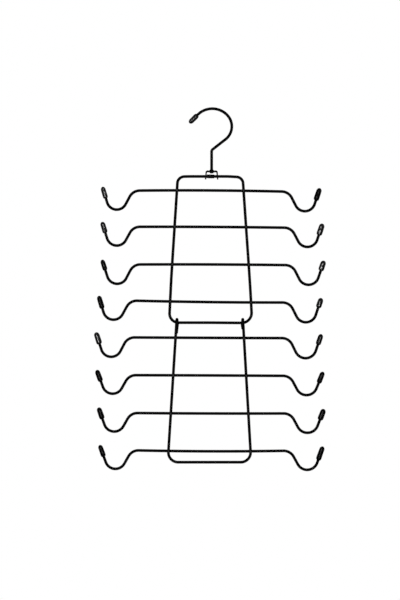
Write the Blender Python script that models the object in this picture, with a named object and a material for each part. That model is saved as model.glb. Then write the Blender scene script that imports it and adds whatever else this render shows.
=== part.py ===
"""A folding hanger for tank tops, bent from coated steel wire.

A hook turns in a sheet-metal yoke. The yoke hangs on the top bar of an upper wire frame, and a lower
wire frame hangs from the upper one by two eyes, so that the hanger folds in half. Four cross bars are
welded behind each frame. Their ends are bent to troughs for shoulder straps and wear vinyl tips.

Metres, +Z up, +X to the right, and -Y towards the viewer. The origin is the inside top of the hook,
where it rests on a closet rod.
"""

import math

import bmesh
import bpy
from mathutils import Matrix, Vector

# The wire and its clearances
WIRE_RADIUS = 0.0017
WELD_GAP = 0.0003
RUNNING_CLEARANCE = 0.0003
HINGE_CLEARANCE = 0.0010

# The hook, from the yoke's plate up the stem, along the slanted neck and round to the free end
STEM_RUN = 0.0250
STEM_BEND_RADIUS = 0.004
NECK_SLANT = math.radians(52)
NECK_RUN = 0.0211
THROAT_RADIUS = 0.0214
THROAT_TURN = math.radians(94.3)
HOOK_RADIUS = 0.0270
HOOK_PAST_TOP = math.radians(45)
HOOK_FREE_RUN = 0.0005
COLLAR_RADIUS = 0.0032
COLLAR_HEIGHT = 0.0026
HEAD_RADIUS = 0.0028
HEAD_HEIGHT = 0.0015
HEAD_DOME = math.radians(65)

# The yoke, a strip of sheet metal bent to a U
SHEET = 0.0012
YOKE_DEPTH = 0.0084
YOKE_FLAT_RUN = 0.0031
YOKE_PLATE_RISE = math.radians(11)
YOKE_RISE_RUN = 0.0016
YOKE_CORNER_RADIUS = 0.0018
CHEEK_FLARE = math.radians(5)
CHEEK_FOOT_SWEEP = math.radians(80)
YOKE_RISE = 0.0072

# The sleeve over the joint of the upper frame's wire
SLEEVE_CLEARANCE = 0.00025
SLEEVE_WALL = 0.0005
SEAM_GAP = 0.0006

# The two frames
TOP_HALF_WIDTH = 0.0424
TOP_CORNER_RADIUS = 0.0090
HINGE_HALF_WIDTH = 0.0547
HINGE_CORNER_RADIUS = 0.0127
FOOT_CORNER_RADIUS = 0.0128
FRAME_OFFSET = -0.0018
LOWER_SIDE_PLAY = -0.0008
EYE_PAST_BEND = 0.0025
EYE_LEAN = 0.0015
EYE_TAIL_INSET = 0.001
EYE_TAIL_DROP = 0.0138

# The cross bars' levels under the bar above them, and the bottom bars' drop under the last one
BARS_PER_FRAME = 4
UPPER_FIRST_DROP = 0.0189
UPPER_PITCH = 0.0484
UPPER_LAST_DROP = 0.0273
LOWER_FIRST_DROP = 0.0199
LOWER_PITCH = 0.0493
LOWER_LAST_DROP = 0.0150

# A cross bar, from its middle out to its tip
BAR_STRAIGHT_HALF = 0.0953
SHOULDER_RADIUS = 0.015
SHOULDER_ANGLE = math.radians(63)
SLOPE_RUN = 0.0113
TROUGH_RADIUS = 0.0135
ARM_ANGLE = math.radians(69.5)
ARM_FREE_RUN = 0.0084

# How far each bar strays from its true place, top to bottom: sideways, up, its lean, how much longer
# each half of its straight is, how much less its left shoulder is bent, and how much wider its left and
# its right trough are bent. The bars are bent and welded by hand. Angles are in radians.
BAR_STRAYS = (
    (0.0006, 0.0003, 0.0068, -0.0028, 0.001, -0.0001, 0.0004),
    (0.0026, 0.0012, 0.0059, -0.0009, 0.020, 0.0000, -0.0002),
    (0.0033, 0.0003, 0.0040, -0.0006, 0.000, 0.0000, 0.0004),
    (-0.0006, -0.0002, 0.0118, 0.0005, 0.023, -0.0002, -0.0004),
    (-0.0018, -0.0001, 0.0045, 0.0014, 0.004, 0.0001, 0.0008),
    (-0.0001, -0.0003, 0.0039, 0.0014, 0.043, 0.0001, 0.0002),
    (0.0015, -0.0007, 0.0024, 0.0010, 0.050, 0.0001, 0.0001),
    (0.0021, -0.0009, 0.0021, 0.0006, 0.058, -0.0002, -0.0008),
)

# The vinyl tips
TIP_RADIUS = 0.0031
TIP_LENGTH = 0.015
TIP_END_WALL = 0.0017
TIP_LIP = 0.0004

# How finely the round shapes are cut
WIRE_RESOLUTION = 3
BAR_RESOLUTION = 2
BEND_STEP = math.radians(14)
EYE_STEP = math.radians(28)
TURNED_STEPS = 12
DOME_STEPS = 3
HOLE_SIDES = 24
CHEEK_FOOT_STEPS = 5
SOLID_MERGE = 0.00005
EDGE = 0.0001

SWEPT_HOOK = math.pi / 2 - NECK_SLANT + THROAT_TURN
TIP_INSERTION = TIP_LENGTH - TIP_END_WALL - RUNNING_CLEARANCE
BAR_SETBACK = 2 * WIRE_RADIUS + WELD_GAP
EYE_RADIUS = 2 * WIRE_RADIUS + HINGE_CLEARANCE
FOOT_HALF_WIDTH = HINGE_HALF_WIDTH
UPPER_HEIGHT = UPPER_FIRST_DROP + (BARS_PER_FRAME - 1) * UPPER_PITCH + UPPER_LAST_DROP
LOWER_HEIGHT = LOWER_FIRST_DROP + (BARS_PER_FRAME - 1) * LOWER_PITCH + LOWER_LAST_DROP


def clear_scene():
    """Remove every object, so that the model starts from nothing."""
    for thing in list(bpy.data.objects):
        bpy.data.objects.remove(thing, do_unlink=True)


def finish(name, colour, roughness, metallic):
    """A Principled BSDF material of one plain finish."""
    material = bpy.data.materials.new(name)
    material.use_nodes = True
    shader = material.node_tree.nodes["Principled BSDF"]
    shader.inputs["Base Color"].default_value = (*colour, 1.0)
    shader.inputs["Roughness"].default_value = roughness
    shader.inputs["Metallic"].default_value = metallic
    return material


def place(thing, parent, location, material=None):
    """Link an object to the scene under its parent, at a place in the parent's own coordinates."""
    bpy.context.scene.collection.objects.link(thing)
    thing.parent = parent
    thing.location = location
    if material is not None:
        thing.data.materials.append(material)
    return thing


def axis_empty(name, parent, location):
    """An empty on a joint's axis, which carries the pieces that move there."""
    return place(bpy.data.objects.new(name, None), parent, location)


def bend_wire(start, heading, moves):
    """The centre line of a wire bent in the XZ plane, as on a bending jig.

    Each move is a straight run, then a turn (anticlockwise is positive, seen from the front) and its
    radius. The heading is an angle from +X towards +Z. Returns the points and the last heading.
    """
    place_now = Vector((start[0], 0, start[1]))
    points = [place_now.copy()]
    for run, turn, radius in moves:
        if run > 0:
            place_now = place_now + run * Vector((math.cos(heading), 0, math.sin(heading)))
            points.append(place_now.copy())
        if turn == 0:
            continue
        side = math.copysign(1, turn)
        centre = place_now + side * radius * Vector((-math.sin(heading), 0, math.cos(heading)))
        steps = math.ceil(abs(turn) / BEND_STEP - EDGE)
        for step in range(1, steps + 1):
            angle = heading + turn * step / steps
            outward = Vector((math.sin(angle), 0, -math.cos(angle)))
            points.append(centre + side * radius * outward)
        heading += turn
        place_now = points[-1].copy()
    return points, heading


def fillet(before, corner, after, radius):
    """The points of a bend at a corner, from where the wire leaves one straight to the next."""
    back = (before - corner).normalized()
    ahead = (after - corner).normalized()
    half = back.angle(ahead) / 2
    centre = corner + (back + ahead).normalized() * radius / math.sin(half)
    first = corner + back * radius / math.tan(half) - centre
    last = corner + ahead * radius / math.tan(half) - centre
    turn = math.pi - 2 * half
    steps = math.ceil(turn / BEND_STEP)
    axis = first.cross(last).normalized()
    return [centre + Matrix.Rotation(turn * step / steps, 3, axis) @ first for step in range(steps + 1)]


def wire(name, points, parent, location, material, resolution, radii=None):
    """A round wire along a centre line. The radii, if given, swell or thin it point by point."""
    curve = bpy.data.curves.new(name, "CURVE")
    curve.dimensions = "3D"
    curve.bevel_depth = WIRE_RADIUS
    curve.bevel_resolution = resolution
    curve.use_fill_caps = True
    spline = curve.splines.new("POLY")
    spline.points.add(len(points) - 1)
    for index, point in enumerate(points):
        spline.points[index].co = (*point, 1.0)
        if radii is not None:
            spline.points[index].radius = radii[index] / WIRE_RADIUS
    return place(bpy.data.objects.new(name, curve), parent, location, material)


def turned(name, profile, parent, location, material):
    """A turned piece: its profile, in radius and height, runs down the outer side and back up the bore."""
    mesh = bpy.data.meshes.new(name)
    corners = [(radius, 0, height) for radius, height in profile]
    edges = [(index, index + 1) for index in range(len(corners) - 1)]
    mesh.from_pydata(corners, edges, [])
    thing = place(bpy.data.objects.new(name, mesh), parent, location, material)
    screw = thing.modifiers.new("turn", "SCREW")
    screw.steps = TURNED_STEPS
    screw.render_steps = TURNED_STEPS
    screw.use_merge_vertices = True
    screw.merge_threshold = SOLID_MERGE
    screw.use_smooth_shade = True
    return thing


def hole_cutter(name, radius, length, rotation, parent):
    """A round cutter through its parent's origin, whose flats clear the radius that it is cut for."""
    form = bmesh.new()
    bmesh.ops.create_cone(
        form, cap_ends=True, segments=HOLE_SIDES, depth=length,
        radius1=radius / math.cos(math.pi / HOLE_SIDES),
        radius2=radius / math.cos(math.pi / HOLE_SIDES))
    mesh = bpy.data.meshes.new(name)
    form.to_mesh(mesh)
    form.free()
    cutter = place(bpy.data.objects.new(name, mesh), parent, (0, 0, 0))
    cutter.rotation_euler = rotation
    cutter.hide_render = True
    cutter.display_type = "WIRE"
    return cutter


def mirrored(points):
    """The same points on the other side of the YZ plane."""
    return [Vector((-point.x, point.y, point.z)) for point in points]


def hook_centre_line():
    """The hook from the top of the yoke's plate to the free end, and the height of its highest point."""
    lead_up, heading = bend_wire((0, 0), math.pi / 2, (
        (STEM_RUN, -NECK_SLANT, STEM_BEND_RADIUS),
        (NECK_RUN, THROAT_TURN, THROAT_RADIUS),
        (0, math.pi - SWEPT_HOOK, HOOK_RADIUS),
    ))
    top = lead_up[-1]
    far_side, heading = bend_wire((top.x, top.z), heading, (
        (0, HOOK_PAST_TOP, HOOK_RADIUS),
        (HOOK_FREE_RUN + TIP_INSERTION, 0, 0),
    ))
    return lead_up + far_side[1:], heading, top.z


def make_hook(root, plate_top, material, vinyl):
    """The hook's wire, with the peened head under the yoke's plate and the collar above it."""
    points, heading, _ = hook_centre_line()
    head_top = -SHEET - RUNNING_CLEARANCE
    dome = []
    for step in range(DOME_STEPS, -1, -1):
        angle = HEAD_DOME * step / DOME_STEPS
        fall = EDGE + (HEAD_HEIGHT - EDGE) * math.sin(angle) / math.sin(HEAD_DOME)
        dome.append((head_top - fall, HEAD_RADIUS * math.cos(angle)))
    stem_profile = dome + [
        (head_top, WIRE_RADIUS),
        (RUNNING_CLEARANCE, WIRE_RADIUS),
        (RUNNING_CLEARANCE + EDGE, COLLAR_RADIUS),
        (RUNNING_CLEARANCE + COLLAR_HEIGHT / 3, (COLLAR_RADIUS + 2 * WIRE_RADIUS) / 3),
        (RUNNING_CLEARANCE + COLLAR_HEIGHT, WIRE_RADIUS),
    ]
    stem = [Vector((0, 0, height)) for height, _ in stem_profile]
    radii = [radius for _, radius in stem_profile]
    bent = points[1:]
    lifted = [point + Vector((0, 0, plate_top)) for point in stem + bent]
    wire("swivel_hook", lifted, root, (0, 0, 0), material, WIRE_RESOLUTION + 1,
         radii + [WIRE_RADIUS] * len(bent))
    end = lifted[-1]
    back = TIP_INSERTION * Vector((math.cos(heading), 0, math.sin(heading)))
    make_tip("hook_tip", end - back, heading, root, vinyl)


def tip_profile():
    """A dipped tip: a dome, a straight side, a rounded lip, and the bore that the wire fills."""
    bore = (WIRE_RADIUS + RUNNING_CLEARANCE) / math.cos(math.pi / TURNED_STEPS)
    dome_base = TIP_LENGTH - TIP_RADIUS
    dome = [(TIP_RADIUS * math.sin(step * math.pi / 2 / DOME_STEPS),
             dome_base + TIP_RADIUS * math.cos(step * math.pi / 2 / DOME_STEPS))
            for step in range(DOME_STEPS + 1)]
    return dome + [
        (TIP_RADIUS, TIP_LIP),
        (TIP_RADIUS - TIP_LIP, 0),
        (bore, 0),
        (bore, TIP_LENGTH - TIP_END_WALL),
        (0, TIP_LENGTH - TIP_END_WALL),
    ]


def make_tip(name, location, heading, parent, material):
    """A vinyl tip whose mouth is at a point on a wire that runs out along a heading."""
    tip = turned(name, tip_profile(), parent, location, material)
    tip.rotation_euler.y = math.pi / 2 - heading
    return tip


def yoke_stations():
    """The strip's centre line from the plate's middle down the right cheek, with its half widths."""
    plate_middle = YOKE_RISE - SHEET / 2
    bend, _ = bend_wire((0, plate_middle), 0, (
        (YOKE_FLAT_RUN, YOKE_PLATE_RISE, YOKE_CORNER_RADIUS),
        (YOKE_RISE_RUN, CHEEK_FLARE - math.pi / 2 - YOKE_PLATE_RISE, YOKE_CORNER_RADIUS),
    ))
    half_depth = YOKE_DEPTH / 2
    stations = [(point, half_depth) for point in bend]
    down = Vector((math.sin(CHEEK_FLARE), 0, -math.cos(CHEEK_FLARE)))
    at_bar = bend[-1] + down * bend[-1].z / math.cos(CHEEK_FLARE)
    for step in range(CHEEK_FOOT_STEPS + 1):
        angle = step * CHEEK_FOOT_SWEEP / CHEEK_FOOT_STEPS
        stations.append((at_bar + down * half_depth * math.sin(angle), half_depth * math.cos(angle)))
    return stations


def make_yoke(tilt_axis, material):
    """The yoke: a strip bent over the stem's head, bored for the stem and, in both cheeks, for the bar."""
    right = yoke_stations()
    left = [(Vector((-point.x, point.y, point.z)), half) for point, half in right[:0:-1]]
    form = bmesh.new()
    rows = []
    for point, half in left + right:
        rows.append([form.verts.new((point.x, side * half, point.z)) for side in (-1, 1)])
    for here, beyond in zip(rows, rows[1:]):
        form.faces.new((here[0], beyond[0], beyond[1], here[1]))
    mesh = bpy.data.meshes.new("swivel_yoke")
    form.to_mesh(mesh)
    form.free()
    yoke = place(bpy.data.objects.new("swivel_yoke", mesh), tilt_axis, (0, 0, 0), material)
    sheet = yoke.modifiers.new("sheet", "SOLIDIFY")
    sheet.thickness = SHEET
    sheet.offset = 0
    sheet.use_even_offset = True
    reach = 2 * (right[-1][0].x + YOKE_RISE)
    hole = WIRE_RADIUS + RUNNING_CLEARANCE
    stem_cutter = hole_cutter("stem_hole_cutter", hole, reach, (0, 0, 0), tilt_axis)
    bar_cutter = hole_cutter("bar_hole_cutter", hole, reach, (0, math.pi / 2, 0), tilt_axis)
    for cutter in (stem_cutter, bar_cutter):
        cut = yoke.modifiers.new(cutter.name, "BOOLEAN")
        cut.operation = "DIFFERENCE"
        cut.solver = "EXACT"
        cut.object = cutter
    return right


def make_sleeve(tilt_axis, stations, material):
    """The sleeve that joins the frame wire's two ends and keeps the yoke in place along the bar."""
    outer = WIRE_RADIUS + SLEEVE_CLEARANCE + SLEEVE_WALL
    bore = (WIRE_RADIUS + SLEEVE_CLEARANCE) / math.cos(math.pi / TURNED_STEPS)
    at_bar = next(point for point, _ in stations if abs(point.z) < EDGE)
    cheek_face = at_bar.x - outer * math.tan(CHEEK_FLARE) - SHEET / 2 / math.cos(CHEEK_FLARE)
    half = cheek_face - RUNNING_CLEARANCE
    profile = [(outer, half), (outer, -half), (bore, -half), (bore, half), (outer, half)]
    sleeve = turned("joining_sleeve", profile, tilt_axis, (0, 0, 0), material)
    sleeve.rotation_euler.y = math.pi / 2


def frame_corners(top_half, bottom_half, height):
    """A frame's four corners, from the top right one round by the bottom to the top left one."""
    return [
        Vector((top_half, 0, 0)),
        Vector((bottom_half, 0, -height)),
        Vector((-bottom_half, 0, -height)),
        Vector((-top_half, 0, 0)),
    ]


def make_upper_frame(tilt_axis, material):
    """The upper frame: one wire whose two ends meet inside the sleeve, in the middle of the yoke."""
    shift = Vector((FRAME_OFFSET, 0, 0))
    corners = [corner + shift for corner in frame_corners(TOP_HALF_WIDTH, HINGE_HALF_WIDTH, UPPER_HEIGHT)]
    seam_right = Vector((SEAM_GAP / 2, 0, 0))
    seam_left = Vector((-SEAM_GAP / 2, 0, 0))
    stops = [seam_right] + corners + [seam_left]
    radii = (TOP_CORNER_RADIUS, HINGE_CORNER_RADIUS, HINGE_CORNER_RADIUS, TOP_CORNER_RADIUS)
    points = [seam_right]
    for index, radius in enumerate(radii):
        points += fillet(stops[index], stops[index + 1], stops[index + 2], radius)
    points.append(seam_left)
    wire("upper_frame", points, tilt_axis, (0, 0, 0), material, WIRE_RESOLUTION)


def hinge_bar_straight_half():
    """How far the upper frame's bottom bar stays straight on each side of its middle."""
    lean = math.atan((HINGE_HALF_WIDTH - TOP_HALF_WIDTH) / UPPER_HEIGHT)
    corner_half_angle = (math.pi / 2 - lean) / 2
    return HINGE_HALF_WIDTH - HINGE_CORNER_RADIUS / math.tan(corner_half_angle)


def eye(leg_half, leg_slope):
    """A right-hand eye, from its tail's end up in front of the bar, over it and down to the leg.

    The leg comes up behind the bar, and the tail runs back to the leg and lies against its front, a
    little towards the frame's middle. In the YZ plane the tail is the tangent to the eye's circle.
    """
    beside_leg = leg_half + leg_slope * EYE_TAIL_DROP - EYE_TAIL_INSET
    before_leg = EYE_RADIUS - math.sqrt(BAR_SETBACK ** 2 - EYE_TAIL_INSET ** 2)
    tail_end = Vector((beside_leg, before_leg, -EYE_TAIL_DROP))
    reach = math.hypot(tail_end.y, tail_end.z)
    direction = 2 * math.pi + math.atan2(tail_end.z, tail_end.y)
    sweep = direction - math.acos(EYE_RADIUS / reach)
    steps = math.ceil(sweep / EYE_STEP)
    points = [tail_end]
    for step in range(steps, -1, -1):
        angle = sweep * step / steps
        inward = EYE_LEAN * step / steps
        points.append(Vector((leg_half - inward, EYE_RADIUS * math.cos(angle), EYE_RADIUS * math.sin(angle))))
    return points


def make_lower_frame(fold_axis, material):
    """The lower frame: one wire, its legs' ends bent to eyes round the upper frame's bottom bar."""
    leg_half = hinge_bar_straight_half() + EYE_PAST_BEND
    leg_slope = (FOOT_HALF_WIDTH - leg_half) / LOWER_HEIGHT
    behind = Vector((0, EYE_RADIUS, 0))
    corners = [corner + behind for corner in frame_corners(leg_half, FOOT_HALF_WIDTH, LOWER_HEIGHT)]
    right_eye = eye(leg_half, leg_slope)
    left_eye = mirrored(right_eye)[::-1]
    points = right_eye
    points += fillet(corners[0], corners[1], corners[2], FOOT_CORNER_RADIUS)
    points += fillet(corners[1], corners[2], corners[3], FOOT_CORNER_RADIUS)
    points += left_eye
    shift = (FRAME_OFFSET + LOWER_SIDE_PLAY, 0, 0)
    wire("lower_frame", points, fold_axis, shift, material, WIRE_RESOLUTION)


def half_bar(stretch, shoulder, widening):
    """The right half of a strap bar: its points, the heading of its end, and where its tip's mouth is."""
    points, heading = bend_wire((0, 0), 0, (
        (BAR_STRAIGHT_HALF + stretch, -shoulder, SHOULDER_RADIUS),
        (SLOPE_RUN, SHOULDER_ANGLE + ARM_ANGLE, TROUGH_RADIUS + widening),
        (ARM_FREE_RUN + TIP_INSERTION, 0, 0),
    ))
    mouth = points[-1] - TIP_INSERTION * Vector((math.cos(heading), 0, math.sin(heading)))
    return points, heading, mouth


def make_cross_bar(number, parent, level, setback, offset, material, vinyl):
    """A strap bar, bent to a trough at each end, and its two tips."""
    stray_side, stray_up, lean, stretch, slack, left_widening, right_widening = BAR_STRAYS[number - 1]
    right, right_heading, right_mouth = half_bar(stretch, SHOULDER_ANGLE, right_widening)
    left, left_heading, left_mouth = half_bar(stretch, SHOULDER_ANGLE - slack, left_widening)
    points = mirrored(left)[:0:-1] + right[1:]
    location = (offset + stray_side, setback, level + stray_up)
    bar = wire(f"cross_bar_{number}", points, parent, location, material, BAR_RESOLUTION)
    bar.rotation_euler.y = lean
    make_tip(f"tip_{number}_right", right_mouth, right_heading, bar, vinyl)
    make_tip(f"tip_{number}_left", mirrored([left_mouth])[0], math.pi - left_heading, bar, vinyl)


def make_hanger():
    """The whole hanger, from the hook down."""
    clear_scene()
    enamel = (0.012, 0.012, 0.013)
    hook_finish = finish("hook_wire_black_enamel", enamel, 0.35, 0.0)
    yoke_finish = finish("yoke_sheet_black_enamel", enamel, 0.4, 0.0)
    sleeve_finish = finish("sleeve_black_enamel", enamel, 0.38, 0.0)
    frame_finish = finish("frame_wire_black_enamel", enamel, 0.35, 0.0)
    bar_finish = finish("bar_wire_black_enamel", enamel, 0.35, 0.0)
    vinyl = finish("tip_black_vinyl", (0.01, 0.01, 0.011), 0.22, 0.0)

    plate_top = WIRE_RADIUS - hook_centre_line()[2]
    rod_seat = axis_empty("rod_seat", None, (0, 0, 0))
    tilt_axis = axis_empty("yoke_tilt_axis", rod_seat, (0, 0, plate_top - YOKE_RISE))
    fold_axis = axis_empty("fold_axis", tilt_axis, (0, 0, -UPPER_HEIGHT))

    make_hook(rod_seat, plate_top, hook_finish, vinyl)
    stations = make_yoke(tilt_axis, yoke_finish)
    make_sleeve(tilt_axis, stations, sleeve_finish)
    make_upper_frame(tilt_axis, frame_finish)
    make_lower_frame(fold_axis, frame_finish)
    for index in range(BARS_PER_FRAME):
        upper_level = -UPPER_FIRST_DROP - index * UPPER_PITCH
        make_cross_bar(index + 1, tilt_axis, upper_level, BAR_SETBACK, FRAME_OFFSET, bar_finish, vinyl)
        lower_level = -LOWER_FIRST_DROP - index * LOWER_PITCH
        make_cross_bar(BARS_PER_FRAME + index + 1, fold_axis, lower_level, EYE_RADIUS + BAR_SETBACK,
                       FRAME_OFFSET + LOWER_SIDE_PLAY, bar_finish, vinyl)


make_hanger()
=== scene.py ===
import math

import bpy
import numpy as np
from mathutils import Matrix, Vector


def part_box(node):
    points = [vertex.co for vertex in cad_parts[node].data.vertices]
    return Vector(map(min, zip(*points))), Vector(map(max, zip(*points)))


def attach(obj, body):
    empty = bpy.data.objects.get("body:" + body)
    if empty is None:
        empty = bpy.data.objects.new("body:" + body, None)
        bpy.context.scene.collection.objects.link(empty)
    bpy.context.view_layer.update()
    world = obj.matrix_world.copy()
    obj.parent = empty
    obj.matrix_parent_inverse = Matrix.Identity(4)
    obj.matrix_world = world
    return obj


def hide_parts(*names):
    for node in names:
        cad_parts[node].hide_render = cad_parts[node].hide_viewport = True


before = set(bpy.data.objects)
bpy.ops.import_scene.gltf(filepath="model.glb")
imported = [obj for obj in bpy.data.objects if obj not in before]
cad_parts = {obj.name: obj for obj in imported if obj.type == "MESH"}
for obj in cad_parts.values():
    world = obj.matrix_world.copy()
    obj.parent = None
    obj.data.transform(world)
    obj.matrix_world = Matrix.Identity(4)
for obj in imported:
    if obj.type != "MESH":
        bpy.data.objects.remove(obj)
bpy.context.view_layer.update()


# The hook is one 3.4 mm steel wire, bent on a jig to a stem, a slanted neck and a round arc for the rod. A
# collar is swaged on the stem above the yoke's plate, and its foot is peened to a low dome below the plate,
# so the hook turns and can't pull out. Like all the wires, it is dipped in black enamel, 0.2 mm thick.

steel = 0.0017
coat = 0.0002
wire = steel + coat
running_gap = 0.0003
tip_grip = 0.011
sheet = 0.0014 + 2 * coat


def bend_wire(start, heading, moves):
    """Follow a wire bent in the XZ plane, as on a jig.

    Each move is a straight run along the heading, then a turn round a centre one radius to the wire's side.
    At angle a of the turn, the point is the centre plus the radius times (sin a, -cos a), with a going evenly
    from the old heading to the new one in steps of at most 3 degrees. Gives the points and the last heading.
    """
    stretches = [np.array([[start[0], 0.0, start[1]]])]
    for run, turn, radius in moves:
        here = stretches[-1][-1]
        if run:
            here = here + run * np.array([math.cos(heading), 0.0, math.sin(heading)])
            stretches.append(here[None])
        if turn:
            side = math.copysign(radius, turn)
            centre = here + side * np.array([-math.sin(heading), 0.0, math.cos(heading)])
            angle = heading + turn * np.linspace(0, 1, math.ceil(abs(turn) / math.radians(3)) + 1)[1:]
            stretches.append(centre + side * np.stack([np.sin(angle), 0 * angle, -np.cos(angle)], axis=1))
            heading += turn
    return np.concatenate(stretches), heading


def spaced(line, extra=()):
    """The same line with a point at least each 4 mm, and at the extra distances from its start.

    Each coordinate is interpolated over the distance run along the line, at the old and the new distances.
    """
    run = np.concatenate([[0], np.cumsum(np.linalg.norm(np.diff(line, axis=0), axis=1))])
    wanted = np.concatenate([run, np.arange(0.004, run[-1], 0.004), np.array(extra, float)])
    wanted = np.unique(np.round(wanted, 6))
    wanted = wanted[(wanted >= 0) & (wanted < run[-1])]
    wanted = np.append(wanted, run[-1])
    return np.stack([np.interp(wanted, run, line[:, axis]) for axis in range(3)], axis=1)


def rings_along(line, radii, sides=28):
    """The rings of a round wire along a line.

    A ring is the line's point plus the radius times (cos a * u + sin a * v). Here u is the part of the vector
    (1, 1, 0) that lies across the line, made one long, and v is the line's direction crossed with u. No wire
    of the hanger runs along (1, 1, 0).
    """
    step = np.diff(line, axis=0)
    step /= np.linalg.norm(step, axis=1)[:, None]
    ahead = np.concatenate([step[:1], step[:-1] + step[1:], step[-1:]])
    ahead /= np.linalg.norm(ahead, axis=1)[:, None]
    slant = np.array([1.0, 1.0, 0.0])
    across = slant - ahead * (ahead @ slant)[:, None]
    across /= np.linalg.norm(across, axis=1)[:, None]
    beside = np.cross(ahead, across)
    angle = np.linspace(0, 2 * math.pi, sides, endpoint=False)
    spokes = across[:, None] * np.cos(angle)[None, :, None] + beside[:, None] * np.sin(angle)[None, :, None]
    return line[:, None] + spokes * np.broadcast_to(radii, len(line))[:, None, None]


def skin(name, stacks, material, closed=False):
    """A smooth piece whose mesh covers stacks of rings.

    Ring i and ring i + 1 are joined by a four-sided face for each pair of neighbours j and j + 1. The first
    and last rings of a stack are closed by fans to their middle points or, if it is closed, are joined to
    each other.
    """
    corners, faces = [], []
    count = 0
    for rings in stacks:
        number = np.arange(rings.shape[0] * rings.shape[1]).reshape(rings.shape[:2]) + count
        if closed:
            number = np.concatenate([number, number[:1]])
        here, beyond = number[:-1], number[1:]
        quads = np.stack([here, np.roll(here, -1, 1), np.roll(beyond, -1, 1), beyond], axis=-1)
        faces += quads.reshape(-1, 4).tolist()
        corners.append(rings.reshape(-1, 3))
        count += rings.shape[0] * rings.shape[1]
        if not closed:
            first, last = number[0], number[-1]
            faces += np.stack([0 * first + count, np.roll(first, -1), first], axis=-1).tolist()
            faces += np.stack([0 * last + count + 1, last, np.roll(last, -1)], axis=-1).tolist()
            corners.append(np.stack([rings[0].mean(0), rings[-1].mean(0)]))
            count += 2
    mesh = bpy.data.meshes.new(name)
    mesh.from_pydata(np.concatenate(corners).tolist(), [], faces)
    mesh.polygons.foreach_set("use_smooth", np.ones(len(faces), bool))
    mesh.materials.append(material)
    piece = bpy.data.objects.new(name, mesh)
    bpy.context.scene.collection.objects.link(piece)
    return piece


class Shade:
    """An output of a node in a material, which Python can do sums with: each operator adds its Math node."""

    def __init__(self, tree, socket=None):
        self.tree = tree
        self.socket = socket

    def node(self, kind, settings=None, inputs=None, output=0):
        """Add any node: first its settings, then a value or a link for each named or numbered input."""
        made = self.tree.nodes.new(kind)
        for setting, value in (settings or {}).items():
            setattr(made, setting, value)
        for place, value in (inputs or {}).items():
            if isinstance(value, Shade):
                self.tree.links.new(value.socket, made.inputs[place])
            else:
                made.inputs[place].default_value = value
        return Shade(self.tree, made.outputs[output] if len(made.outputs) else None)

    def sum(self, operation, first, second):
        return self.node("ShaderNodeMath", {"operation": operation}, {0: first, 1: second})

    def __add__(self, other):
        return self.sum("ADD", self, other)

    def __sub__(self, other):
        return self.sum("SUBTRACT", self, other)

    def __rsub__(self, other):
        return self.sum("SUBTRACT", other, self)

    def __mul__(self, other):
        return self.sum("MULTIPLY", self, other)

    __radd__ = __add__
    __rmul__ = __mul__

    def noise(self, size, detail=2.0):
        """Noise from 0 to 1 whose lumps are about this many metres across, read at this place."""
        return self.node("ShaderNodeTexNoise", None, {"Vector": self, "Scale": 1 / size, "Detail": detail})

    def ramp(self, low, high):
        """0 where this is at or under low and 1 at or over high, smooth between. The ends may be swapped."""
        return self.node("ShaderNodeMapRange", {"interpolation_type": "SMOOTHSTEP"},
                         {"Value": self, "From Min": low, "From Max": high})

    def near(self, centre, reach):
        """1 at a point of the piece, falling smoothly to 0 at this distance from it."""
        away = self.node("ShaderNodeVectorMath", {"operation": "DISTANCE"}, {0: self, 1: centre}, "Value")
        return away.ramp(reach, reach * 0.3)

    def mix(self, first, second):
        """The first colour where this is 0 and the second where it is 1."""
        inputs = {0: self, 6: (*first, 1), 7: (*second, 1)}
        return self.node("ShaderNodeMix", {"data_type": "RGBA"}, inputs, 2)


def finish(name):
    """A new material, and the place on the piece as a Shade, from which its other nodes are made."""
    material = bpy.data.materials.new(name)
    material.use_nodes = True
    material.node_tree.nodes.clear()
    return material, Shade(material.node_tree).node("ShaderNodeTexCoord", output="Object")


def enamel(name, dull=0.65, shine=0.006, black=0.0008, rubbed_at=()):
    """Black baked enamel: a fine orange peel, slow runs where the dip was thicker, and nibs of dust.

    Where metal rubs on it, round the points given with their reach, it is thinner, greyer and more polished.
    """
    material, place = finish(name)
    peel = place.noise(0.0009)
    run = place.noise(0.009, 3)
    nib = place.noise(0.0005, 1).ramp(0.72, 0.8)
    rubbed = 0 * peel
    for centre, reach in rubbed_at:
        rubbed = rubbed + place.near(centre, reach) * peel.ramp(0.35, 0.65)
    thin = run.ramp(0.7, 0.35)
    full, worn = (black, black, black * 1.06), (black * 3, black * 3, black * 3.1)
    colour = (thin * 0.5 + nib * 0.3 + rubbed).mix(full, worn)
    height = peel * 0.4 + run * 1.2 + nib * 0.5
    bump = place.node("ShaderNodeBump", None, {"Strength": 0.15, "Distance": 0.00005, "Height": height})
    paint = place.node("ShaderNodeBsdfPrincipled", None, {
        "Base Color": colour, "Roughness": dull + 0.06 * peel + 0.08 * thin - 0.15 * rubbed,
        "Specular IOR Level": shine, "Normal": bump})
    place.node("ShaderNodeOutputMaterial", None, {"Surface": paint})
    return material


collar_radius, collar_height = 0.0034, 0.0026
head_radius, head_height = 0.0027, 0.0014
stem_run, stem_bend = 0.0250, 0.004
neck_run, neck_slant = 0.0211, math.radians(52)
throat_radius, throat_turn = 0.0214, math.radians(94.3)
hook_radius, past_top, free_run = 0.0270, math.radians(45), 0.0005
arc_to_top = math.pi / 2 + neck_slant - throat_turn

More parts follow.
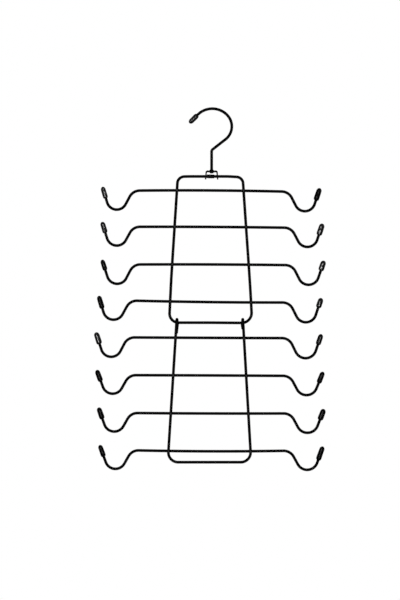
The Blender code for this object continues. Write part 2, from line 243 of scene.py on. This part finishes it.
lead_up, top_heading = bend_wire((0, collar_height + running_gap), math.pi / 2, (
    (stem_run - collar_height - running_gap, -neck_slant, stem_bend),
    (neck_run, throat_turn, throat_radius),
    (0, arc_to_top, hook_radius),
))
far_side, hook_heading = bend_wire((lead_up[-1, 0], lead_up[-1, 2]), top_heading, (
    (0, past_top, hook_radius),
    (free_run + tip_grip, 0, 0),
))
plate_top = steel - lead_up[-1, 2]
bent = spaced(np.concatenate([lead_up, far_side[1:]]))

# The foot is round: where d is the dome's depth as a share, its radius is the head's times the 2.3rd root of
# 1 - d to the 2.3rd power. The collar's falls from its rim to the wire with the 2.6th power of the height
# that is left.
head_rim = -sheet - running_gap
ledge, rounding = 0.00002, 0.0001
dome_depth = np.linspace(1, 0.04, 14)
dome = head_radius * (1 - dome_depth ** 2.3) ** (1 / 2.3)
bell = np.linspace(0.06, 1, 16)
foot_heights = np.concatenate([
    head_rim - head_height * dome_depth, [head_rim - ledge, head_rim, running_gap],
    [running_gap + ledge], running_gap + collar_height * bell[:-1]])
foot_radii = np.concatenate([
    np.maximum(dome, rounding), [head_radius - rounding, wire, wire],
    [collar_radius - 2 * rounding], wire + (collar_radius - wire) * (1 - bell[:-1]) ** 2.6])
foot = np.stack([0 * foot_heights, 0 * foot_heights, foot_heights], axis=1)
hook_line = np.concatenate([foot, bent]) + np.array([0, 0, plate_top])
hook_radii = np.concatenate([foot_radii, np.full(len(bent), wire)])

hook_enamel = enamel("hook_enamel", rubbed_at=[((0, 0, 0), 0.007), ((0, 0, plate_top), 0.004)])
bent_hook = skin("bent_hook", [rings_along(hook_line, hook_radii)], hook_enamel)
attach(bent_hook, "hook")
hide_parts("swivel_hook")


# The hook's free end wears a cap of black vinyl. The hot wire is dipped in liquid vinyl and baked, which
# leaves a long dome at the end, a side that thins towards it, and a soft shoulder where the dip stopped.


def vinyl_rings(mouth, out, radius, start, stop, seed):
    """The rings of a dipped cap round a wire that runs out of a mouth along a direction.

    The side's radius thins by a twelfth along the cap. Over the 3.4 mm shoulder it grows from the lip by a
    quarter ellipse, and over the 4.2 mm dome it falls by another. The vinyl sagged, so the radius swells by
    3% of cos(a + seed) times the sine of the share of the length. The rings run down the outside to the mouth
    and back up the bore, which clears the wire.
    """
    dome, shoulder = 0.0042, 0.0034
    lip_wall, end_room, play = 0.0002, 0.0002, 0.00002
    edge, bevel, pinhole = 0.00006, 0.0003, 0.0003
    along = np.concatenate([
        stop - dome * (1 - np.cos(np.linspace(0.04, math.pi / 2, 20))),
        np.linspace(stop - dome, start + shoulder, 14)[1:-1],
        start + shoulder * (1 - np.sin(np.linspace(0, math.pi / 2, 14)))])
    share = (along - start) / (stop - start)
    on_shoulder = 1 - np.clip((along - start) / shoulder, 0, 1)
    on_dome = 1 - np.clip((stop - along) / dome, 0, 1)
    lip = wire + lip_wall
    outside = lip + (radius * (1 - share / 12) - lip) * np.sqrt(1 - on_shoulder ** 2)
    outside = outside * np.sqrt(1 - on_dome ** 2)
    angle = np.linspace(0, 2 * math.pi, 40, endpoint=False)
    swell = 1 + 0.03 * np.sin(math.pi * np.clip(share, 0, 1))[:, None] * np.cos(angle + seed)
    bore_end = tip_grip + end_room
    bore_along = np.array([start + edge, start + bevel, bore_end, bore_end])
    bore = np.array([wire + edge, wire + play, wire + play, pinhole])
    line = mouth + np.concatenate([along, bore_along])[:, None] * out
    reach = np.concatenate([outside[:, None] * swell, bore[:, None] + 0 * angle])
    across = np.cross(out, np.array([0.0, 1.0, 0.0]))
    beside = np.cross(-out, across)
    spokes = np.cos(angle)[:, None] * across + np.sin(angle)[:, None] * beside
    return line[:, None] + reach[:, :, None] * spokes


def dipped_vinyl(name, shine):
    """Black dipped vinyl, with slow waves from the dip, a few tiny pits, and a fine haze of handling."""
    material, place = finish(name)
    wave = place.noise(0.006, 1)
    grain = place.noise(0.0006, 3)
    pit = place.noise(0.0009, 0).ramp(0.3, 0.2)
    haze = place.noise(0.0028, 4).ramp(0.45, 0.75)
    black = (haze * 0.7 + pit * 0.3).mix((0.001, 0.001, 0.0011), (0.003, 0.003, 0.0032))
    height = wave + grain * 0.02 - pit * 0.06
    bump = place.node("ShaderNodeBump", None, {"Strength": 1.0, "Distance": 0.0012, "Height": height})
    vinyl = place.node("ShaderNodeBsdfPrincipled", None, {
        "Base Color": black, "Roughness": 0.22 + 0.08 * haze + 0.04 * grain + 0.1 * pit,
        "Specular IOR Level": shine, "Normal": bump})
    place.node("ShaderNodeOutputMaterial", None, {"Surface": vinyl})
    return material


glossy = dipped_vinyl("glossy_vinyl", 0.07)
hook_out = np.array([math.cos(hook_heading), 0.0, math.sin(hook_heading)])
hook_mouth = hook_line[-1] - tip_grip * hook_out
hook_cap = skin("hook_cap", [vinyl_rings(hook_mouth, hook_out, 0.0035, 0.0001, 0.0150, 1.0)], glossy)
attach(hook_cap, "hook")
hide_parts("hook_tip")


# The yoke is a strip of 1.4 mm steel, punched with three holes, bent to a U and enamelled. Peening the
# hook's foot dished its plate, so the two bends stand up a little beside the stem. Its round feet hang just
# below the frame's bar.

bar_drop = 0.0072
tilt_level = plate_top - bar_drop
flare = math.radians(5)
half_depth = 0.0042
sheared_edge = 0.00028
flat_run, rise_run, dish, yoke_bend = 0.0031, 0.0020, math.radians(4), 0.0018

plate_half, _ = bend_wire((0, tilt_level + bar_drop - sheet / 2), 0, (
    (flat_run, dish, yoke_bend),
    (rise_run, flare - math.pi / 2 - dish, yoke_bend),
))
down = np.array([math.sin(flare), 0.0, -math.cos(flare)])
at_bar = plate_half[-1] + down * (plate_half[-1, 2] - tilt_level) / math.cos(flare)
foot_sweep = np.linspace(0, math.radians(86), 24)
round_foot = at_bar + half_depth * np.sin(foot_sweep)[:, None] * down
strip_half = np.concatenate([plate_half, round_foot])
half_width = np.concatenate([np.full(len(plate_half), half_depth), half_depth * np.cos(foot_sweep)])
strip = np.concatenate([strip_half[:0:-1] * np.array([-1.0, 1.0, 1.0]), strip_half])
strip_width = np.concatenate([half_width[:0:-1], half_width])


def strip_rings(line, widths, thickness, edge, sides=48):
    """The rings of a sheet-metal strip bent round the Y axis, carried along its middle line.

    Each ring is a rectangle with round edges. Along Y it is (half width - edge) times the sign of cos a, plus
    edge times cos a, and across the sheet the same with half the thickness and sin a. The first and last
    rings are half as thick, as the sheared ends are rounded over.
    """
    step = np.diff(line, axis=0)
    step /= np.linalg.norm(step, axis=1)[:, None]
    ahead = np.concatenate([step[:1], step[:-1] + step[1:], step[-1:]])
    ahead /= np.linalg.norm(ahead, axis=1)[:, None]
    depthwise = np.array([0.0, 1.0, 0.0])
    through = np.cross(ahead, depthwise)
    angle = (np.arange(sides) + 0.5) * 2 * math.pi / sides
    thin = np.ones(len(line))
    thin[[0, -1]] = 0.5
    wide = np.maximum(widths, edge * 1.1)[:, None] - edge
    depth = wide * np.sign(np.cos(angle)) + edge * np.cos(angle)
    through_by = ((thickness / 2 - edge) * np.sign(np.sin(angle)) + edge * np.sin(angle)) * thin[:, None]
    return line[:, None] + depth[:, :, None] * depthwise + through_by[:, :, None] * through[:, None]


def punch(piece, at, out, radius, length):
    """Cut a round hole through a piece for good, along a direction, with 64 sides and sharp rims."""
    line = at + np.array([[-length / 2], [length / 2]]) * out
    cutter = skin("punch", [rings_along(line, radius / math.cos(math.pi / 64), 64)], piece.data.materials[0])
    hole = piece.modifiers.new("hole", "BOOLEAN")
    hole.operation = "DIFFERENCE"
    hole.solver = "EXACT"
    hole.object = cutter
    cut = bpy.data.meshes.new_from_object(piece.evaluated_get(bpy.context.evaluated_depsgraph_get()))
    piece.modifiers.clear()
    piece.data = cut
    bpy.data.objects.remove(cutter)
    cut.set_sharp_from_angle(angle=math.radians(38))


yoke_enamel = enamel("yoke_enamel", rubbed_at=[
    ((0, 0, plate_top), 0.0045), ((at_bar[0], 0, tilt_level), 0.004), ((-at_bar[0], 0, tilt_level), 0.004)])
yoke_bracket = skin("yoke_bracket", [strip_rings(strip, strip_width, sheet, sheared_edge)], yoke_enamel)
punch(yoke_bracket, np.array([0, 0, plate_top]), np.array([0.0, 0.0, 1.0]), wire + running_gap, 0.006)
punch(yoke_bracket, np.array([0, 0, tilt_level]), np.array([1.0, 0.0, 0.0]), wire + running_gap, 0.04)
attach(yoke_bracket, "yoke")
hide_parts("swivel_yoke")


# A short steel sleeve joins the two ends of the upper frame's wire, inside the yoke. It is crimped twice,
# leans a little, sits closer to the left cheek, and is enamelled with the frame. The frame hangs in the
# yoke's holes, so its top bar and the sleeve lie a little below their middle.

sleeve_low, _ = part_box("joining_sleeve")
sleeve_left, sleeve_right = sleeve_low.x + 0.0003, 0.0034
hang = 0.00018
left_crimp, right_crimp, crimp_width, crimp_depth = -0.0042, 0.0011, 0.0007, 0.00022
sleeve_radius, sleeve_play, mouth_rounding = 0.00255, 0.00012, 0.0003
share = np.sin(np.linspace(-math.pi / 2, math.pi / 2, 48))
angle = np.linspace(0, 2 * math.pi, 44, endpoint=False)
at_x = (sleeve_left + sleeve_right + (sleeve_right - sleeve_left) * share[:, None]) / 2 + 0 * angle
crimps = (np.exp(-((at_x - left_crimp) / crimp_width) ** 2)
          + np.exp(-((at_x - right_crimp) / crimp_width) ** 2))
pinch = crimp_depth * crimps * (0.6 + 0.4 * np.cos(3 * angle))
outer = sleeve_radius - pinch - mouth_rounding * (1 - np.sqrt(1 - np.abs(share[:, None]) ** 9))
bore = wire + sleeve_play + 0 * outer[::-1]
lean = 0.02 * at_x


def sleeve_ring(x, radius, shift):
    """Rings round the X axis, anticlockwise seen from +X: y is radius * cos a and z is radius * sin a."""
    return np.stack([x, radius * np.cos(angle), tilt_level - hang - shift + radius * np.sin(angle)], axis=-1)


sleeve_rings = np.concatenate([sleeve_ring(at_x, outer, lean), sleeve_ring(at_x[::-1], bore, 0 * lean)])
crimped_sleeve = skin("crimped_sleeve", [sleeve_rings], enamel("sleeve_enamel", dull=0.45), closed=True)
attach(crimped_sleeve, "upper_half")
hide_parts("joining_sleeve")


# The upper frame is one wire bent to a trapezoid with four round corners. Its ends meet inside the sleeve.
# The bottom side is the bar that the lower frame's eyes turn on.

frame_offset = -0.0018
top_half, hinge_half = 0.0424, 0.0547
top_corner, hinge_corner, tight_corner = 0.0090, 0.0127, 0.0116
half_seam = 0.0003
upper_first, upper_pitch, upper_last = 0.0189, 0.0484, 0.0273
upper_height = upper_first + 3 * upper_pitch + upper_last
fold_level = tilt_level - upper_height


def round_corner(before, corner, after, radius):
    """The points of a wire's bend at a corner.

    The centre lies on the corner's bisector, at radius / sin(half the corner's angle) from it. At turn b the
    point is the centre plus cos b times the first spoke and sin b times the wire's direction, a radius long.
    """
    back = (before - corner) / np.linalg.norm(before - corner)
    ahead = (after - corner) / np.linalg.norm(after - corner)
    half = math.acos(float(back @ ahead)) / 2
    bisector = (back + ahead) / np.linalg.norm(back + ahead)
    centre = corner + bisector * radius / math.sin(half)
    spoke = corner + back * radius / math.tan(half) - centre
    turn = np.linspace(0, math.pi - 2 * half, 32)[:, None]
    return centre + np.cos(turn) * spoke - np.sin(turn) * radius * back


def frame_corners(top, bottom, height):
    """A frame's corners, from the top right one round by the bottom to the top left one."""
    return np.array([[top, 0, 0], [bottom, 0, -height], [-bottom, 0, -height], [-top, 0, 0]], float)


upper_place = np.array([frame_offset, 0, tilt_level])
upper_stops = frame_corners(top_half, hinge_half, upper_height) + upper_place
joint = np.array([[half_seam, 0, tilt_level], [-half_seam, 0, tilt_level]])
stops = np.concatenate([joint[:1], upper_stops, joint[1:]])
upper_line = spaced(np.concatenate([joint[:1]] + [
    round_corner(stops[number], stops[number + 1], stops[number + 2], radius)
    for number, radius in enumerate((top_corner, hinge_corner, tight_corner, top_corner))] + [joint[1:]]))

# It was bent by hand. The right leg bows out by the sine of pi times the squared share of the way down, and
# the left one is pulled in evenly over its last 30%. The top bar droops over 9 mm before its corners, and the
# hinge bar falls a little over the 35 mm right of its middle.
right_bow, left_pull, hinge_fall = 0.0005, 0.0009, 0.0003
right_droop, left_droop, droop_run = 0.0006, 0.00025, 0.009
right_start, left_start = 0.024, 0.028
on_right = upper_line[:, 0] > frame_offset
down_share = np.clip((tilt_level - upper_line[:, 2]) / upper_height, 0, 1)
from_middle = np.abs(upper_line[:, 0] - frame_offset)
droop = np.where(on_right, right_droop * np.clip((from_middle - right_start) / droop_run, 0, 1),
                 left_droop * np.clip((from_middle - left_start) / droop_run, 0, 1))
upper_line[:, 0] += np.where(on_right, right_bow * np.sin(math.pi * down_share ** 2),
                             left_pull * np.clip((down_share - 0.7) / 0.3, 0, 1))
upper_line[:, 2] -= (hang + droop) * np.clip(1 - down_share / 0.2, 0, 1)
upper_line[:, 2] -= hinge_fall * np.clip((upper_line[:, 0] - frame_offset) / 0.035, 0, 1) * down_share ** 6

eye_past_bend = 0.0025
half_corner = (math.pi / 2 - math.atan((hinge_half - top_half) / upper_height)) / 2
eye_x = hinge_half - hinge_corner / math.tan(half_corner) + eye_past_bend

frame_enamel = enamel("frame_enamel", rubbed_at=[
    ((frame_offset + side * (eye_x - 0.001), 0, fold_level), 0.0045) for side in (-1, 1)])
upper_wire_frame = skin("upper_wire_frame", [rings_along(upper_line, wire)], frame_enamel)
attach(upper_wire_frame, "upper_half")
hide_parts("upper_frame")


# The lower frame is one wire bent to a U. Each upper end is rolled forward over the hinge bar to an eye, and
# its cut tail lies against the front of the leg and is tacked there by a weld. The left tail is the longer.

side_play = -0.0008
lower_first, lower_pitch, lower_last = 0.0199, 0.0493, 0.0150
lower_height = lower_first + 3 * lower_pitch + lower_last
weld_gap, eye_play, foot_corner = 0.0003, 0.0010, 0.0128
setback = 2 * steel + weld_gap
eye_radius = 2 * steel + eye_play
tail_inset, eye_lean = 0.001, 0.0015
right_tail, left_tail = 0.0080, 0.0138
leg_slope = (hinge_half - eye_x) / lower_height


def rolled_eye(tail_drop):
    """A right eye, from its tail's end up in front of the bar, over it and down to the leg, round the X axis.

    The tail is straight and touches the eye's circle. On the circle, y is the radius times cos a and z the
    radius times sin a, while x leans inwards in step with a.
    """
    tail = np.array([eye_x + leg_slope * tail_drop - tail_inset,
                     eye_radius - math.sqrt(setback ** 2 - tail_inset ** 2), -tail_drop])
    sweep = 2 * math.pi + math.atan2(tail[2], tail[1]) - math.acos(eye_radius / math.hypot(tail[1], tail[2]))
    a = np.linspace(sweep, 0, 44)
    circle = np.stack([eye_x - eye_lean * a / sweep, eye_radius * np.cos(a), eye_radius * np.sin(a)], axis=1)
    return np.concatenate([tail[None], circle])


lower_place = np.array([frame_offset + side_play, 0, fold_level])
lower_corners = frame_corners(eye_x, hinge_half, lower_height) + np.array([0, eye_radius, 0])
right_eye, left_eye = rolled_eye(right_tail), rolled_eye(left_tail)
lower_line = np.concatenate([
    right_eye,
    round_corner(lower_corners[0], lower_corners[1], lower_corners[2], foot_corner),
    round_corner(lower_corners[1], lower_corners[2], lower_corners[3], foot_corner),
    left_eye[::-1] * np.array([-1.0, 1.0, 1.0]),
]) + lower_place

# A cut end is rounded: at distance d from it, inside the last 0.4 mm, the radius is the wire's times the root
# of 1 - 0.7 * (1 - d / 0.4 mm) squared.
cut_rounding = 0.0004
lower_run = np.linalg.norm(np.diff(lower_line, axis=0), axis=1).sum()
near_cut = np.array([0.00005, 0.0001, 0.00018, 0.00028, cut_rounding])
lower_line = spaced(lower_line, np.concatenate([near_cut, lower_run - near_cut]))
run = np.concatenate([[0], np.cumsum(np.linalg.norm(np.diff(lower_line, axis=0), axis=1))])
from_cut = np.clip(np.minimum(run, run[-1] - run) / cut_rounding, 0, 1)
lower_radii = wire * np.sqrt(1 - 0.7 * (1 - from_cut) ** 2)

# The frame hangs a touch askew: it moves right at the eyes and left at its foot, evenly with the share of the
# way down, and the foot is a little lower.
eyes_right, foot_left, foot_drop = 0.00025, 0.00045, 0.00025
down_share = np.clip((fold_level - lower_line[:, 2]) / lower_height, 0, 1)
lower_line[:, 0] += eyes_right - foot_left * down_share
lower_line[:, 2] -= foot_drop * down_share

lower_wire_frame = skin("lower_wire_frame", [rings_along(lower_line, lower_radii)], frame_enamel)
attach(lower_wire_frame, "lower_half")
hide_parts("lower_frame")


# Eight strap bars lie behind the frames, four on each. Each is one wire with a shoulder, a slope and a round
# trough at both ends, where a garment's straps hang. They are bent by hand and welded on, so no two are quite
# alike.

straight_half, shoulder_radius, slope_run, arm_run = 0.0953, 0.015, 0.0113, 0.0084

# For each bar, the first list gives how far it strays sideways and up in millimetres, its lean in
# thousandths, and its stretch and the bow of its middle in millimetres. The second gives, for its left and
# right ends, the angles of the shoulder and of the arm in degrees, with the trough's radius in millimetres
# between them.
strays = ((0.7, -0.1, 6.6, -2.4, 0.8), (2.5, 0.9, 6.1, -0.8, 0.4), (3.4, 0.1, 4.2, -0.4, 0.4),
          (-0.6, 0.2, 12.1, 0.2, -0.6), (-1.8, -0.1, 4.3, 1.5, -0.1), (-0.2, -0.4, 4.4, 1.4, 0.1),
          (1.4, -0.7, 2.9, 0.8, -0.3), (2.0, -0.5, 2.8, 0.1, -0.9))
bends = (((62.3, 13.2, 73.1), (62.9, 13.5, 72.2)), ((61.5, 13.4, 72.6), (61.9, 13.5, 72.0)),
         ((62.8, 13.4, 72.2), (63.0, 13.6, 71.6)), ((62.1, 13.6, 72.9), (62.7, 13.6, 72.3)),
         ((62.8, 13.6, 72.0), (63.5, 14.2, 71.6)), ((60.7, 13.6, 69.7), (61.6, 14.1, 68.2)),
         ((60.5, 13.7, 70.6), (61.6, 14.3, 69.6)), ((60.5, 13.5, 70.2), (61.1, 14.0, 70.6)))


def half_bar(stretch, bow, shoulder, trough, arm):
    """The right half of a bar, from its middle to the end of its wire inside the vinyl cap.

    The middle bows up by the bow times (1 - x squared), where x goes from 0 to 1 over the straight run.
    """
    line = bend_wire((0, 0), 0, (
        (straight_half + stretch / 1000, -math.radians(shoulder), shoulder_radius),
        (slope_run, math.radians(shoulder + arm), trough / 1000),
        (arm_run + tip_grip, 0, 0),
    ))[0]
    line = spaced(line)
    line[:, 2] += bow / 1000 * np.clip(1 - (line[:, 0] / straight_half) ** 2, 0, 1)
    return line


def leaned(line, lean):
    """A line turned in the XZ plane by the lean: x becomes x cos + z sin, and z becomes z cos - x sin."""
    x, y, z = line.T
    cos, sin = math.cos(lean), math.sin(lean)
    return np.stack([x * cos + z * sin, y, z * cos - x * sin], axis=1)


bar_enamel = enamel("bar_enamel")
bar_lines = []
for number, (stray, (left_bends, right_bends)) in enumerate(zip(strays, bends), 1):
    sideways, up, lean, stretch, bow = stray
    left = half_bar(stretch, bow, *left_bends) * np.array([-1.0, 1.0, 1.0])
    right = half_bar(stretch, bow, *right_bends)
    step_down = (number - 1) % 4
    if number <= 4:
        place = upper_place + np.array([0, setback, -upper_first - step_down * upper_pitch])
    else:
        place = lower_place + np.array([0, eye_radius + setback, -lower_first - step_down * lower_pitch])
    place = place + np.array([sideways, 0, up]) / 1000
    line = leaned(np.concatenate([left[:0:-1], right]), lean / 1000) + place
    bar_lines.append(line)
    bar = skin(f"strap_bar_{number}", [rings_along(line, wire)], bar_enamel)
    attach(bar, "upper_half" if number <= 4 else "lower_half")
    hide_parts(f"cross_bar_{number}")


# A weld joins each bar to both legs of its frame. The crossed wires were squeezed between two electrodes and
# fused, and the enamel ran into the corners. So each weld is a small saddle, long along both wires, and the
# electrodes left a flattened spot in front on the leg and behind on the bar. Two tacks hold the eyes' tails.


def weld_rings(first, first_way, second, second_way, seed, sink=0.0002):
    """The rings of a weld between two wires, from inside the first to inside the second.

    Across the line that joins the wires, its reach in a direction is 1 mm. To this comes 1.2 mm times the
    squared cosine to the first wire, times (1 - t) squared, and the same to the second wire, times t squared,
    where t goes from 0 to 1 between them. Each end follows the wire's round side, sunk a little into it.
    """
    waist, spread = 0.001, 0.0012
    between = second - first
    apart = np.linalg.norm(between)
    out = between / apart
    one = np.cross(np.cross(out, second_way), out)
    one /= np.linalg.norm(one)
    other = np.cross(out, one)
    theta = np.linspace(0, 2 * math.pi, 26, endpoint=False)
    way = np.cos(theta)[:, None] * one + np.sin(theta)[:, None] * other
    t = np.linspace(0, 1, 13)[:, None]
    to_first = way @ (first_way / np.linalg.norm(first_way))
    to_second = way @ (second_way / np.linalg.norm(second_way))
    reach = waist + spread * (to_first ** 2 * (1 - t) ** 2 + to_second ** 2 * t ** 2)
    reach = reach * (1 + 0.07 * np.sin(3 * theta + seed) + 0.05 * np.sin(5 * theta + 2 * seed))
    low = np.sqrt(np.maximum(wire ** 2 - reach ** 2 * (1 - to_first ** 2), 0)) - sink
    high = apart - np.sqrt(np.maximum(wire ** 2 - reach ** 2 * (1 - to_second ** 2), 0)) + sink
    height = low + (high - low) * t
    return first + height[:, :, None] * out + reach[:, :, None] * way[None]


def spot_rings(centre, way, out, seed):
    """The rings of an electrode's spot on a wire, from its rim to its middle.

    At the share t of the way in, its reach is 1.3 mm times (1 - t), and 1.3 times that along the wire. Its
    height is a third of the way from the round wire's own height to its crest, and the rim is sunk.
    """
    way = way / np.linalg.norm(way)
    beside = np.cross(out, way)
    theta = np.linspace(0, 2 * math.pi, 24, endpoint=False)
    t = np.array([0, 0.06, 0.15, 0.3, 0.5, 0.7, 0.9])[:, None]
    reach = 0.0013 * (1 - t) * (1 + 0.06 * np.sin(2 * theta + seed) + 0.04 * np.sin(5 * theta - seed))
    on_way, off_way = 1.3 * reach * np.cos(theta), reach * np.sin(theta)
    round_side = np.sqrt(wire ** 2 - off_way ** 2)
    height = np.where(t == 0, round_side - 0.0002, round_side + (wire - round_side) / 3 + 0.00003)
    return centre + on_way[..., None] * way + off_way[..., None] * beside + height[..., None] * out


def crossings(frame_line, bar_line):
    """Where a frame's wire and a bar cross, seen from the front: points on the wire, and its direction there.

    The bar's height is interpolated at each x of the wire. Where the wire's height over it changes its sign,
    the crossing is as far along that stretch as the first height is of the two heights' difference.
    """
    over = frame_line[:, 2] - np.interp(frame_line[:, 0], bar_line[:, 0], bar_line[:, 2])
    before = np.flatnonzero(over[:-1] * over[1:] < 0)
    stretch = frame_line[before + 1] - frame_line[before]
    return frame_line[before] + (over[before] / (over[before] - over[before + 1]))[:, None] * stretch, stretch


# The welds' black is lifted to 0.006, against 0.0008 on the wires. This is partly thin enamel on the
# electrodes' flats and partly a painted highlight for the lighter spots where the wires cross.
weld_enamel_painted_sheen = enamel("weld_enamel_painted_sheen", dull=0.5, shine=0.02, black=0.006)
forward, backward = np.array([0.0, -1.0, 0.0]), np.array([0.0, 1.0, 0.0])
weld_count = 0
for number, (line, stray) in enumerate(zip(bar_lines, strays), 1):
    on_upper = number <= 4
    bar_way = np.array([math.cos(stray[2] / 1000), 0.0, -math.sin(stray[2] / 1000)])
    beads = []
    for on_leg, leg in zip(*crossings(upper_line if on_upper else lower_line, line)):
        on_bar = np.array([on_leg[0], line[0, 1], on_leg[2]])
        weld_count += 1
        beads.append(weld_rings(on_leg, leg, on_bar, bar_way, 1.7 * weld_count))
        beads.append(spot_rings(on_leg, leg, forward, 2.3 * weld_count))
        beads.append(spot_rings(on_bar, bar_way, backward, 3.1 * weld_count))
    welds = skin(f"bar_welds_{number}", beads, weld_enamel_painted_sheen)
    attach(welds, "upper_half" if on_upper else "lower_half")

tack_from_end = 0.0022
tacks = []
for eye, side, seed in ((left_eye, -1, 0.4), (right_eye, 1, 2.1)):
    flip = np.array([side, 1.0, 1.0])
    askew = lower_place + np.array([eyes_right, 0, 0])
    tail_way = eye[1] - eye[0]
    on_tail = eye[0] + tail_way / np.linalg.norm(tail_way) * tack_from_end
    leg_way = lower_corners[1] - lower_corners[0]
    on_leg = lower_corners[0] + leg_way * (on_tail[2] / leg_way[2])
    tail_point, leg_point = on_tail * flip + askew, on_leg * flip + askew
    tacks.append(weld_rings(tail_point, tail_way * flip, leg_point, leg_way * flip, seed))
tail_tacks = skin("tail_tacks", tacks, weld_enamel_painted_sheen)
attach(tail_tacks, "lower_half")


# The sixteen ends of the bars are dipped like the hook's, a whole side of the hanger at a time. The depth of
# the dip, the thickness of the vinyl and its gloss differ from end to end.

# For each bar the list gives, for its left and its right cap, the radius and where the cap starts and stops
# on the wire, in millimetres from the nominal mouth, and how glossy the vinyl dried.
soft, satin = dipped_vinyl("soft_vinyl", 0.008), dipped_vinyl("satin_vinyl", 0.02)
dips = (
    ((3.40, -2.7, 13.0, glossy), (3.75, -3.2, 13.7, soft)),
    ((3.55, -0.8, 14.2, glossy), (3.95, -1.9, 14.1, glossy)),
    ((3.30, 0.5, 15.0, soft), (3.90, 1.3, 15.2, glossy)),
    ((3.55, -3.1, 14.1, soft), (3.80, 2.0, 15.3, glossy)),
    ((3.90, -0.7, 15.5, glossy), (3.60, 0.2, 14.8, satin)),
    ((3.60, -0.5, 15.4, soft), (3.55, -0.7, 15.2, soft)),
    ((3.65, -0.5, 15.4, soft), (3.90, -0.2, 15.1, soft)),
    ((3.40, -0.7, 15.4, soft), (3.60, -4.6, 14.3, soft)),
)

for number, (line, pair) in enumerate(zip(bar_lines, dips), 1):
    for side, end, before, (radius, start, stop, vinyl) in (
            ("left", line[0], line[1], pair[0]), ("right", line[-1], line[-2], pair[1])):
        out = (end - before) / np.linalg.norm(end - before)
        mouth = end - tip_grip * out
        rings = vinyl_rings(mouth, out, radius / 1000, start / 1000, stop / 1000, 2.4 * number + len(side))
        cap = skin(f"strap_cap_{number}_{side}", [rings], vinyl)
        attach(cap, "upper_half" if number <= 4 else "lower_half")
        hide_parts(f"tip_{number}_{side}")


# The studio: a pale floor well below the hanger that fades to white in the distance, white surroundings, a
# softbox in front on the left, a weak one on the right, and a narrow strip lamp by the camera that only shows
# as a streak in glossy things. The camera looks straight on from 1.66 m with a 76 mm lens.

floor_level = -1.0
floor_mesh = bpy.data.meshes.new("floor")
floor_corners = [(x, y, floor_level) for x, y in ((-9, -9), (9, -9), (9, 9), (-9, 9))]
floor_mesh.from_pydata(floor_corners, [], [(0, 1, 2, 3)])
floor = bpy.data.objects.new("floor", floor_mesh)
bpy.context.scene.collection.objects.link(floor)
floor_paint, floor_place = finish("floor_paint")
pale = floor_place.noise(0.6, 3).mix((0.86, 0.86, 0.86), (0.9, 0.9, 0.9))
matt = floor_place.node("ShaderNodeBsdfPrincipled", None, {
    "Base Color": pale, "Roughness": 0.9, "Specular IOR Level": 0.1})
lit = floor_place.node("ShaderNodeEmission", None, {"Color": (1, 1, 1, 1), "Strength": 1.0})
seen = floor_place.node("ShaderNodeLightPath", output="Is Camera Ray")
fade = seen * (1 - 0.6 * floor_place.near((0, 0, floor_level), 1.1))
floor_place.node("ShaderNodeOutputMaterial", None, {
    "Surface": floor_place.node("ShaderNodeMixShader", None, {0: fade, 1: matt, 2: lit})})
floor_mesh.materials.append(floor_paint)

world = bpy.data.worlds.new("studio")
bpy.context.scene.world = world
world.use_nodes = True
world.node_tree.nodes.clear()
sky = Shade(world.node_tree)
by_camera = sky.node("ShaderNodeLightPath", output="Is Camera Ray")
by_gloss = sky.node("ShaderNodeLightPath", output="Is Glossy Ray")
by_glass = sky.node("ShaderNodeLightPath", output="Is Transmission Ray")
shown = (by_camera + by_gloss + by_glass).ramp(0, 1)
white = sky.node("ShaderNodeBackground", None, {"Color": (1, 1, 1, 1), "Strength": 0.45 + 0.55 * shown})
sky.node("ShaderNodeOutputWorld", None, {"Surface": white})

aim = np.array([0.0, 0.0, -0.25])
for name, place, width, height, power in (
        ("softbox", (-0.7, -1.6, 0.1), 0.6, 0.6, 12.0), ("fill", (1.1, -1.3, 0.35), 0.8, 0.8, 4.0),
        ("strip", (-0.12, -1.75, -0.25), 0.06, 0.7, 170.0)):
    lamp = bpy.data.lights.new(name, "AREA")
    lamp.shape = "RECTANGLE"
    lamp.size = width
    lamp.size_y = height
    lamp.energy = power
    stand = bpy.data.objects.new(name, lamp)
    stand.location = place
    ahead = aim - np.array(place)
    tip_over = math.acos(-ahead[2] / np.linalg.norm(ahead))
    stand.rotation_euler = (tip_over, 0, math.atan2(ahead[1], ahead[0]) - math.pi / 2)
    stand.visible_camera = False
    stand.visible_diffuse = name != "strip"
    bpy.context.scene.collection.objects.link(stand)

lens = bpy.data.cameras.new("camera")
lens.lens = 76
lens.sensor_width = 36
camera = bpy.data.objects.new("camera", lens)
camera.location = (-0.0152, -1.6565, -0.2485)
camera.rotation_euler = (math.pi / 2, 0, 0)
bpy.context.scene.collection.objects.link(camera)
bpy.context.scene.camera = camera
bpy.context.scene.view_settings.view_transform = "Standard"
